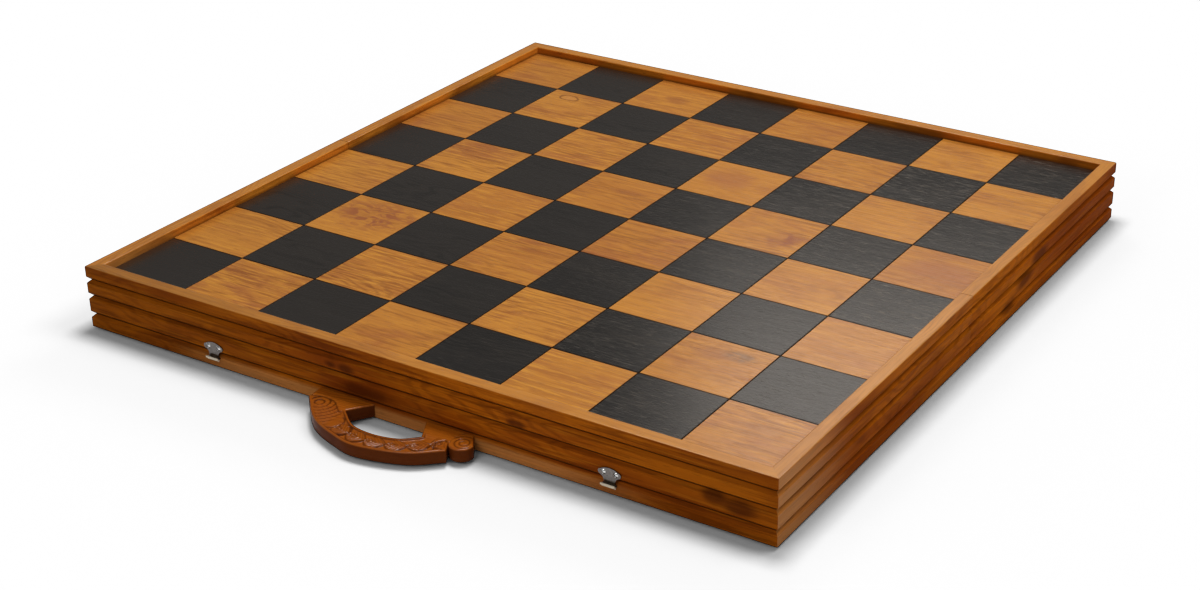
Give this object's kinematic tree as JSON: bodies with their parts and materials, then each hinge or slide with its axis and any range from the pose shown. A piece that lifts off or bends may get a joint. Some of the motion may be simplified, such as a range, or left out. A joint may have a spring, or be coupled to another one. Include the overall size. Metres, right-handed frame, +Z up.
{
  "type": "folding chess box with drawers",
  "caption": "Folding wooden chess board box with inlaid squares, a drawer in each half, a carved carrying handle, strikes and draw latches.",
  "frame": {"origin": "on the table, under the middle of the whole object's box when it lies open", "axes": "+X to the right along the front edge, +Y to the back, away from the handle, +Z up out of the squares"},
  "size_m": [0.8, 0.8774, 0.0715],
  "materials": {
    "rail_wood": "oiled reddish hardwood, satin",
    "light_square": "orange-tan hardwood, satin",
    "dark_square": "near-black hardwood, satin",
    "panel_wood": "plain plywood",
    "drawer_wood": "plain light hardwood",
    "handle_wood": "carved, glossy red-brown",
    "felt": "dark green felt",
    "nickel": "bright nickel plate",
    "brass": "plain brass",
    "foot_rubber": "matt black rubber"
  },
  "bodies": {
    "front_half": {"front_rail": "rail_wood", "front_left_rail": "rail_wood", "front_right_rail": "rail_wood", "front_spine_rail": "rail_wood", "front_board_panel": "panel_wood", "front_bottom_panel": "panel_wood", "front_light_squares": "light_square", "front_dark_squares": "dark_square", "front_drawer_guides": "drawer_wood", "front_drawer_stops": "drawer_wood", "front_feet": "foot_rubber", "front_hinge_leaves": "brass", "front_hinge_screws": "brass", "hinge_pins": "brass", "handle": "handle_wood", "handle_screws": "nickel", "left_strike": "nickel", "right_strike": "nickel", "strike_screws": "nickel"},
    "rear_half": {"rear_rail": "rail_wood", "rear_left_rail": "rail_wood", "rear_right_rail": "rail_wood", "rear_spine_rail": "rail_wood", "rear_board_panel": "panel_wood", "rear_bottom_panel": "panel_wood", "rear_light_squares": "light_square", "rear_dark_squares": "dark_square", "rear_drawer_guides": "drawer_wood", "rear_drawer_stops": "drawer_wood", "rear_feet": "foot_rubber", "rear_hinge_leaves": "brass", "rear_hinge_screws": "brass", "left_latch_base": "nickel", "left_latch_pin": "nickel", "right_latch_base": "nickel", "right_latch_pin": "nickel", "latch_screws": "nickel"},
    "front_drawer": {"front_drawer_face": "rail_wood", "front_drawer_near_side": "drawer_wood", "front_drawer_far_side": "drawer_wood", "front_drawer_back": "drawer_wood", "front_drawer_bottom": "drawer_wood", "front_drawer_felt": "felt", "front_drawer_divider": "drawer_wood"},
    "rear_drawer": {"rear_drawer_face": "rail_wood", "rear_drawer_near_side": "drawer_wood", "rear_drawer_far_side": "drawer_wood", "rear_drawer_back": "drawer_wood", "rear_drawer_bottom": "drawer_wood", "rear_drawer_felt": "felt", "rear_drawer_divider": "drawer_wood"},
    "left_lever": {"left_latch_lever": "nickel"},
    "right_lever": {"right_latch_lever": "nickel"},
    "left_bail": {"left_latch_bail": "nickel"},
    "right_bail": {"right_latch_bail": "nickel"}
  },
  "joints": [
    {"name": "fold", "type": "hinge", "parent": "front_half", "child": "rear_half", "pos_m": [0, 0.02975, 0.0016], "axis": [-1, 0, 0], "range_deg": [0, 180]},
    {"name": "front_drawer_slide", "type": "slide", "parent": "front_half", "child": "front_drawer", "axis": [-1, 0, 0], "range_m": [0, 0.56]},
    {"name": "rear_drawer_slide", "type": "slide", "parent": "rear_half", "child": "rear_drawer", "axis": [-1, 0, 0], "range_m": [0, 0.56]},
    {"name": "left_lever_pivot", "type": "hinge", "parent": "rear_half", "child": "left_lever", "pos_m": [-0.232, 0.43375, 0.0125], "axis": [-1, 0, 0], "range_deg": [0, 115]},
    {"name": "left_bail_pivot", "type": "hinge", "parent": "left_lever", "child": "left_bail", "pos_m": [-0.232, 0.43475, 0.0205], "axis": [1, 0, 0], "range_deg": [-189, 0]},
    {"name": "right_lever_pivot", "type": "hinge", "parent": "rear_half", "child": "right_lever", "pos_m": [0.232, 0.43375, 0.0125], "axis": [-1, 0, 0], "range_deg": [0, 115]},
    {"name": "right_bail_pivot", "type": "hinge", "parent": "right_lever", "child": "right_bail", "pos_m": [0.232, 0.43475, 0.0205], "axis": [1, 0, 0], "range_deg": [-189, 0]}
  ]
}
